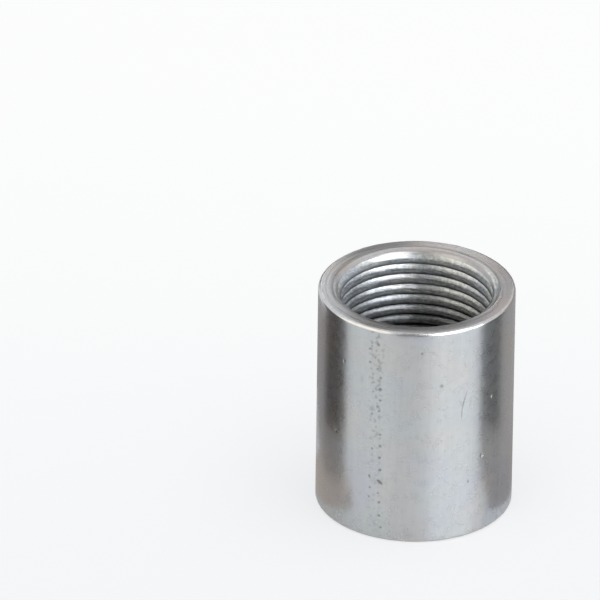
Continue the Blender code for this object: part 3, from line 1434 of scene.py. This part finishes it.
@dataclass(frozen=True)
class Panel:
    """A soft box, a white card or a dark flag that stands round the part.

    turn counts in degrees from the front, to the right. The sizes are metres.
    """

    name: str
    turn: float
    distance: float
    width: float
    bottom: float
    top: float
    colour: Triple
    strength: float
    sideways: float = 0.0

    def placement(self) -> Matrix:
        """Says how a flat square one metre wide becomes the standing panel.

        Returns:
            The transform.
        """
        size = Matrix.Diagonal((self.width, self.top - self.bottom, 1.0, 1.0))
        upright = Matrix.Rotation(math.radians(90), 4, "X")
        outwards = Matrix.Translation((self.sideways, -self.distance, (self.top + self.bottom) / 2))
        return Matrix.Rotation(math.radians(self.turn), 4, "Z") @ outwards @ upright @ size

    def build(self) -> bpy.types.Object:
        """Puts the panel in its place.

        Returns:
            The panel, which only reflections meet.
        """
        shape = bmesh.new()
        bmesh.ops.create_grid(shape, x_segments=1, y_segments=1, size=0.5)
        bmesh.ops.transform(shape, verts=shape.verts, matrix=self.placement())
        panel = add_object(self.name, shape)
        panel.data.materials.append(self.material())
        show_in_reflections(panel)
        panel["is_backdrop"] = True
        return panel

    def material(self) -> bpy.types.Material:
        """Makes the panel's glow.

        Returns:
            A material that sends out the panel's light.
        """
        material = bpy.data.materials.new(self.name)
        material.use_nodes = True
        tree = material.node_tree
        tree.nodes.clear()
        bench = Bench(tree)
        inputs = {"Color": (*self.colour, 1.0), "Strength": self.strength}
        glow = bench.node("ShaderNodeEmission", inputs)
        bench.node("ShaderNodeOutputMaterial", {"Surface": glow.outputs[0]})
        return material


@dataclass(frozen=True)
class LevelPanel(Panel):
    """A level card at its bottom height: over the part, or on the table beside it.

    From front to back it measures its top less its bottom.
    """

    def placement(self) -> Matrix:
        """Says how a flat square one metre wide becomes the level card."""
        size = Matrix.Diagonal((self.width, self.top - self.bottom, 1.0, 1.0))
        return Matrix.Translation((self.sideways, -self.distance, self.bottom)) @ size


def show_in_reflections(item: bpy.types.Object) -> None:
    """Hides an object from the camera and from matt surfaces, so that only metal shows it.

    Args:
        item: The object.
    """
    item.visible_camera = False
    item.visible_diffuse = False
    item.visible_shadow = False
    item.visible_volume_scatter = False


KEY_WHITE = (1.0, 1.0, 1.0)
FILL_CREAM = (1.0, 0.97, 0.91)
CARD_GREY = (1.0, 0.94, 0.91)
CARD_BROWN = (1.0, 0.88, 0.80)
CARD_PINK = (1.0, 0.93, 0.92)

# name, turn, distance, width, bottom, top, colour, strength and sideways of each panel.
PANELS = (
    Panel("right_soft_box", 45, 0.20, 0.22, 0.03, 0.55, KEY_WHITE, 4.15),
    Panel("left_soft_box", -62, 0.20, 0.24, 0.03, 0.50, FILL_CREAM, 1.6),
    Panel("front_flag", -4, 0.16, 0.10, 0.0, 0.50, KEY_WHITE, 0.36),
    Panel("right_flag", 90, 0.0325, 0.0158, 0.0125, 0.048, KEY_WHITE, 0.16, sideways=-0.0099),
    Panel("left_flag", -90, 0.0320, 0.0180, 0.0115, 0.047, CARD_BROWN, 0.10, sideways=0.0052),
    Panel("right_foot_card", 90, 0.0325, 0.0158, 0.0, 0.0125, CARD_GREY, 0.42, sideways=-0.0099),
    Panel("left_foot_card", -90, 0.0320, 0.0180, 0.0, 0.0115, CARD_GREY, 0.32, sideways=0.0052),
    Panel("right_back_card", 90, 0.0330, 0.0450, 0.0, 0.055, CARD_GREY, 0.48, sideways=0.0200),
    Panel("left_back_card", -90, 0.0325, 0.0400, 0.0, 0.035, CARD_GREY, 0.40, sideways=-0.0235),
    Panel("back_card_low", 180, 0.0430, 0.0650, 0.0, 0.050, KEY_WHITE, 0.38),
    Panel("back_card_dark", 180, 0.0800, 0.1200, 0.050, 0.0740, KEY_WHITE, 0.10),
    Panel("back_card_left", 180, 0.0800, 0.0150, 0.0740, 0.0890, KEY_WHITE, 0.28, sideways=0.0075),
    Panel("back_card_right", 180, 0.0800, 0.0160, 0.0740, 0.0880, KEY_WHITE, 1.70, sideways=-0.008),
    Panel("back_card_glow", 180, 0.0800, 0.0130, 0.0740, 0.1100, KEY_WHITE, 1.65, sideways=0.0250),
    Panel("back_card_high", 180, 0.0800, 0.0350, 0.0885, 0.1250, CARD_GREY, 0.14),
    Panel("back_card_side", 180, 0.0800, 0.0140, 0.0740, 0.1280, CARD_PINK, 0.61, sideways=-0.0235),
    LevelPanel("ceiling_card", 0, 0.0, 0.40, 0.56, 0.96, KEY_WHITE, 0.75),
    LevelPanel("right_table_card", 0, -0.0165, 0.030, 0.0005, 0.0575, CARD_GREY, 0.42, 0.036),
    LevelPanel("left_table_card", 0, 0.002, 0.0130, 0.0005, 0.0325, CARD_BROWN, 0.54, -0.027),
)


@dataclass
class Studio:
    """The pale floor, the surround, the lamp and the panels.

    ground_reach runs from front to back, and the other reaches from the part outwards, in metres.
    """

    floor_half: float = 1.5
    floor_squares: int = 4
    sheen_colour: Colour = (0.88, 0.88352, 0.88528, 1.0)
    sheen_roughness: float = 0.32
    sky_light: float = 0.75
    lamp_power: float = 2.1
    lamp_size: float = 0.7
    lamp_place: Triple = (0.1, -0.1, 0.8)
    lamp_tilt: float = math.radians(7)
    ground_reach: Span = (-0.10, 0.20)
    fade_reach: Span = (0.25, 0.90)
    ground_glow: Span = (0.98, 1.0)
    fill_reach: Span = (0.10, 0.90)
    shadow_fill: float = 0.7
    near_ground: Colour = (0.925, 0.934, 0.950, 1.0)
    far_ground: Colour = (0.995, 1.0, 1.0, 1.0)
    background: Colour = (0.955, 0.963, 0.965, 1.0)

    def build(self) -> None:
        """Sets up everything round the part."""
        self.build_floor()
        self.build_world()
        self.build_lamp()
        for panel in PANELS:
            panel.build()
            LOG.info("studio: %s", panel.name)

    def build_floor(self) -> None:
        """Lays the pale table that the socket stands on.

        Its sheen shows in the metal alone, so that the picture keeps a plain matt ground. There the
        shadow is filled in, as it is under a light tent, and far off the table takes the colour of
        the background.
        """
        shape = bmesh.new()
        squares = self.floor_squares
        bmesh.ops.create_grid(shape, x_segments=squares, y_segments=squares, size=self.floor_half)
        floor = add_object("floor", shape)
        material = bpy.data.materials.new("white_table")
        material.use_nodes = True
        tree = material.node_tree
        tree.nodes.clear()
        bench = Bench(tree)
        look = {"Base Color": self.sheen_colour, "Roughness": self.sheen_roughness}
        sheen = bench.node("ShaderNodeBsdfPrincipled", look).outputs[0]
        place = bench.node("ShaderNodeTexCoord").outputs["Object"]
        away = bench.length(place)
        behind = bench.ramp(bench.parts(place)["Y"], *self.ground_reach)
        ground = bench.blend(behind, self.near_ground, self.far_ground)
        ground = bench.blend(bench.ramp(away, *self.fade_reach), ground, self.background)
        matt = bench.node("ShaderNodeBsdfDiffuse", {"Color": ground}).outputs[0]
        glow = bench.ramp(away, *self.fade_reach, *self.ground_glow)
        lit = bench.node("ShaderNodeEmission", {"Color": ground, "Strength": glow}).outputs[0]
        fill = bench.ramp(away, *self.fill_reach, self.shadow_fill, 1.0)
        filled = bench.node("ShaderNodeMixShader", {0: fill, 1: matt, 2: lit}).outputs[0]
        ray = bench.node("ShaderNodeLightPath").outputs["Is Camera Ray"]
        mixed = bench.node("ShaderNodeMixShader", {0: ray, 1: sheen, 2: filled})
        bench.node("ShaderNodeOutputMaterial", {"Surface": mixed.outputs[0]})
        floor.data.materials.append(material)
        floor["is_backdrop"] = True

    def build_world(self) -> None:
        """Gives the camera and reflections a white surround, and the table a plain soft light."""
        world = bpy.data.worlds.new("light_tent")
        bpy.context.scene.world = world
        world.use_nodes = True
        tree = world.node_tree
        tree.nodes.clear()
        bench = Bench(tree)
        ray = bench.node("ShaderNodeLightPath").outputs
        direct = bench.maths("MAXIMUM", ray["Is Camera Ray"], ray["Is Glossy Ray"])
        direct = bench.maths("MAXIMUM", direct, ray["Is Transmission Ray"])
        inputs = {"Color": (*KEY_WHITE, 1.0), "Strength": self.sky_light}
        tent = bench.node("ShaderNodeBackground", inputs).outputs[0]
        inputs = {"Color": self.background, "Strength": 1.0}
        surround = bench.node("ShaderNodeBackground", inputs).outputs[0]
        mixed = bench.node("ShaderNodeMixShader", {0: direct, 1: tent, 2: surround})
        bench.node("ShaderNodeOutputWorld", {"Surface": mixed.outputs[0]})

    def build_lamp(self) -> None:
        """Hangs one large soft lamp over the table."""
        light = bpy.data.lights.new("overhead_lamp", "AREA")
        light.shape = "SQUARE"
        light.size = self.lamp_size
        light.energy = self.lamp_power
        lamp = bpy.data.objects.new("overhead_lamp", light)
        lamp.location = self.lamp_place
        lamp.rotation_euler = (self.lamp_tilt, self.lamp_tilt, 0.0)
        lamp.visible_glossy = False
        bpy.context.scene.collection.objects.link(lamp)


@dataclass(frozen=True)
class ViewPoint:
    """The camera of the photograph: far away, with a long lens, looking down on the upper mouth.

    middle_at is where the part's middle falls in the photograph, in pixels from its upper left.
    """

    elevation: float = math.radians(28.6)
    roll: float = math.radians(0.765)
    pixels_per_metre: float = 4988.0
    frame_pixels: float = 600.0
    middle_at: Point = (415.2, 391.0)
    lens: float = 1000.0
    sensor: float = 36.0
    clip: Span = (0.1, 20.0)

    def build(self, middle: Vector) -> bpy.types.Object:
        """Places the camera so that the part's middle falls where the photograph has it.

        Args:
            middle: The middle of the part.

        Returns:
            The camera.
        """
        right = Vector((1.0, 0.0, 0.0))
        forward = Vector((0.0, math.cos(self.elevation), -math.sin(self.elevation)))
        upward = Vector((0.0, math.sin(self.elevation), math.cos(self.elevation)))
        aimed = Matrix((right, upward, -forward)).transposed().to_4x4()
        aimed = aimed @ Matrix.Rotation(self.roll, 4, "Z")
        distance = self.frame_pixels / self.pixels_per_metre * self.lens / self.sensor
        across = (self.middle_at[0] - self.frame_pixels / 2) / self.pixels_per_metre
        down = (self.middle_at[1] - self.frame_pixels / 2) / self.pixels_per_metre
        turned = aimed.to_3x3()
        place = middle - forward * distance
        place -= turned @ Vector((across, 0.0, 0.0))
        place += turned @ Vector((0.0, down, 0.0))
        data = bpy.data.cameras.new("camera")
        data.lens = self.lens
        data.sensor_width = self.sensor
        data.clip_start, data.clip_end = self.clip
        camera = bpy.data.objects.new("camera", data)
        bpy.context.scene.collection.objects.link(camera)
        camera.matrix_world = Matrix.Translation(place) @ aimed
        bpy.context.scene.camera = camera
        return camera


def corners() -> dict[str, list[float]]:
    """Reads the shown object's box as plain numbers."""
    low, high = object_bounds()
    return {"low": list(low), "high": list(high)}


def main() -> None:
    logging.basicConfig(level=logging.INFO, format="%(name)s: %(message)s")
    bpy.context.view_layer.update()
    low, high = (Vector(corner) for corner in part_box("socket"))
    part = PipeSocket(length=high.z, outer_radius=high.x)
    piece = part.build()
    groups = Groups.build()
    finishes = (
        DrawnSkin(),
        TurnedEnd(outer_radius=part.outer_radius),
        CutThread(length=part.length, pitch=part.tap.pitch, runout_angle=part.tap.runout_angle),
    )
    for finish in finishes:
        piece.data.materials.append(finish.make(groups))
    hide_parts("socket")
    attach(piece, "root")
    triangles = sum(len(face.vertices) - 2 for face in piece.data.polygons)
    LOG.info("%s: %d triangles", piece.name, triangles)
    middle = (low + high) / 2
    Studio().build()
    ViewPoint().build(middle)
    bpy.context.scene.view_settings.view_transform = "Standard"


if __name__ == "__main__":
    main()
